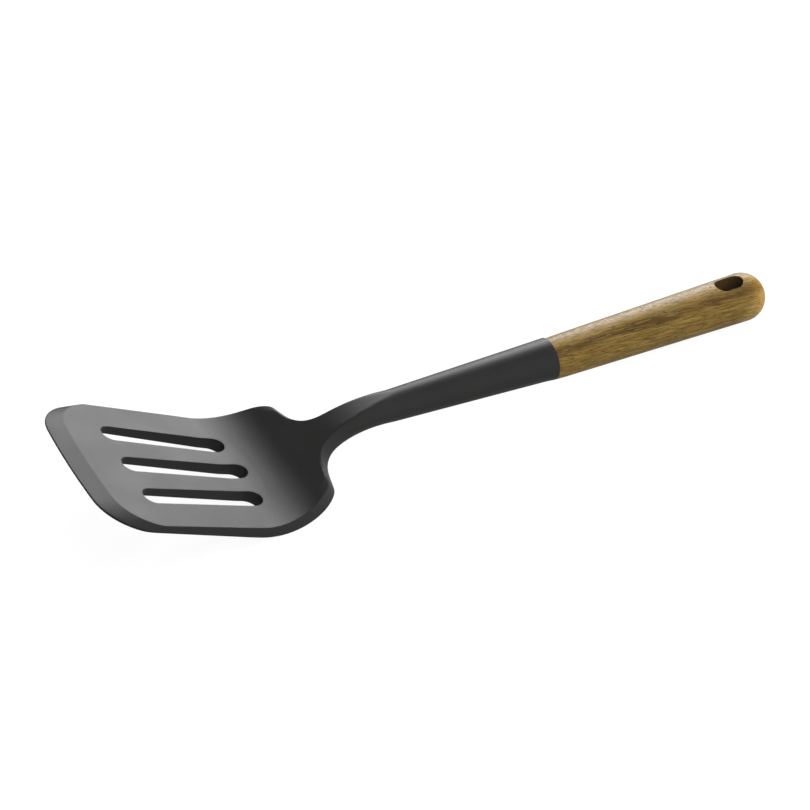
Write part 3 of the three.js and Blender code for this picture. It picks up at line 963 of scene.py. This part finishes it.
def nylonMaterial():
    look = nylonLook
    material, tree, shader, place = newMaterial("stiffNylon", IOR=look["ior"])
    spots = addMottle(tree, place, look)
    colour = blended(tree, grain(tree, place, look["fibre"]), look["dark"], look["light"])
    rough = ranged(tree, spots["Cloud"], *look["roughBand"], look["smooth"], look["rough"])
    finishShader(tree, shader, colour, rough, spots["Skin"], look["bump"])
    return material


steelLook = {
    "dark": shade(0.4, 0.41, 0.42), "light": shade(0.52, 0.53, 0.54),
    "cloudScale": 70.0, "skinScale": 2000.0,
    "drawn": {"scale": (20, 4000, 4000), "detail": 2.0, "roughness": 0.5},
    "smooth": 0.22, "rough": 0.4, "roughBand": (0.6, 1.4),
    "bump": {"depth": 0.00003, "strength": 0.5},
}


def steelMaterial():
    look = steelLook
    material, tree, shader, place = newMaterial("drawnSteel", Metallic=1.0)
    drawn = grain(tree, place, look["drawn"])
    colour = blended(tree, drawn, look["dark"], look["light"])
    uneven = maths(tree, "ADD", drawn, addMottle(tree, place, look)["Cloud"])
    rough = ranged(tree, uneven, *look["roughBand"], look["smooth"], look["rough"])
    finishShader(tree, shader, colour, rough, drawn, look["bump"])
    return material


dress(head, siliconeMaterial())
dress(handle, woodMaterial())
dress(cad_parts["blade_core"], nylonMaterial())
dress(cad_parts["tang_rod"], steelMaterial())
print("finishes made:", len(bpy.data.materials))

for piece, node, slot in ((head, "silicone_head", "silicone"), (handle, "wood_handle", "handle_wood")):
    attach(piece, "root")
    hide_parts(node)

# the floor glows, so that it is white in the picture
floorLook = {"size": 12, "colour": shade(0.1, 0.1, 0.1), "roughness": 0.9, "glow": 0.93}
bpy.ops.object.select_all(action="DESELECT")
bpy.ops.mesh.primitive_plane_add(size=floorLook["size"])
floor = bpy.context.object
floor.name = "floor"
paleFloor = newMaterial(
    "paleFloor", Base_Color=floorLook["colour"], Roughness=floorLook["roughness"],
    Emission_Color=white, Emission_Strength=floorLook["glow"])[0]
dress(floor, paleFloor)
floor.visible_glossy = False  # the glossy pieces mirror the dim room, not the white floor

# area lights round the origin, angles in degrees, lengths in metres
lightSet = {
    "softbox": {"turn": 59, "rise": 26.7, "roll": 15, "far": 1.3,
                "size": (1.04, 0.75), "power": 15.9, "glossy": True},
    "lowStrip": {"turn": 46, "rise": 7, "roll": 0, "far": 1.3,
                 "size": (0.75, 0.3), "power": 1.85, "glossy": True},
    "fill": {"turn": -50, "rise": 58, "roll": 0, "far": 1.6,
             "size": (2.2, 2.2), "power": 40, "glossy": False},
    "endFill": {"turn": -10, "rise": 4, "roll": 0, "far": 1.3,
                "size": (0.6, 0.2), "power": 27, "glossy": False},
}
for name, values in lightSet.items():
    turn, rise = math.radians(values["turn"]), math.radians(values["rise"])
    aim = Vector((math.cos(turn) * math.cos(rise), math.sin(turn) * math.cos(rise), math.sin(rise)))
    bpy.ops.object.light_add(type="AREA", location=aim * values["far"])
    light = bpy.context.object
    light.name = name
    light.data.shape = "RECTANGLE"
    light.data.size, light.data.size_y = values["size"]
    light.data.energy = values["power"]
    rolled = Quaternion((0, 0, 1), math.radians(values["roll"]))
    light.rotation_euler = (aim.to_track_quat("Z", "Y") @ rolled).to_euler()
    light.visible_glossy = values["glossy"]

# the room is dimmer towards the ceiling and has a few soft glows
roomLook = {
    "low": 0.3, "high": 0.03, "band": (-0.1, 0.6),
    "glows": [
        {"way": (0.4, 0.8, -0.45), "reach": 0.72, "strength": 0.15},
        {"way": (0.42, -0.83, 0.37), "reach": 0.55, "strength": 0.39},
        {"way": (0.38, 0.43, 0.82), "reach": 0.88, "strength": 0.27},
        {"way": (0.78, 0.3, -0.55), "reach": 0.8, "strength": 0.16},
    ],
}
world = bpy.data.worlds.new("studio")
scene.world = world
world.use_nodes = True
roomTree = world.node_tree
way = roomTree.nodes.new("ShaderNodeTexCoord").outputs["Generated"]
upward = addNode(roomTree, "ShaderNodeSeparateXYZ", {"Vector": way}).outputs["Z"]
glow = ranged(roomTree, upward, *roomLook["band"], roomLook["low"], roomLook["high"])
for spot in roomLook["glows"]:
    facing = vectorMaths(roomTree, "DOT_PRODUCT", way, spot["way"])
    added = ranged(roomTree, facing, spot["reach"], 1.0, 0.0, spot["strength"])
    glow = maths(roomTree, "ADD", glow, added)
background = roomTree.nodes["Background"]
background.inputs["Color"].default_value = white
roomTree.links.new(glow, background.inputs["Strength"])

# the photo's camera
cameraSet = {
    "aim": (-14.7, -0.075, 12.18), "far": 917.9,  # millimetres
    "turn": 29.45797, "rise": 39.91405, "roll": 1.70152,  # degrees
    "lens": 105, "sensor": 36, "clip": (0.01, 30),
}
turn, rise = math.radians(cameraSet["turn"]), math.radians(cameraSet["rise"])
bpy.ops.object.camera_add()
camera = bpy.context.object
camera.name = "photoCamera"
camera.data.lens, camera.data.sensor_width = cameraSet["lens"], cameraSet["sensor"]
camera.data.clip_start, camera.data.clip_end = cameraSet["clip"]
turned = Matrix.Rotation(-turn, 4, "Z") @ Matrix.Rotation(math.pi / 2 - rise, 4, "X")
turned = turned @ Matrix.Rotation(math.radians(cameraSet["roll"]), 4, "Z")
back = turned.to_3x3() @ Vector((0, 0, 1))
stand = Vector(cameraSet["aim"]) + back * cameraSet["far"]
camera.matrix_world = Matrix.Translation(stand * mm) @ turned
scene.camera = camera
print("stage set: floor,", len(lightSet), "lights and camera")
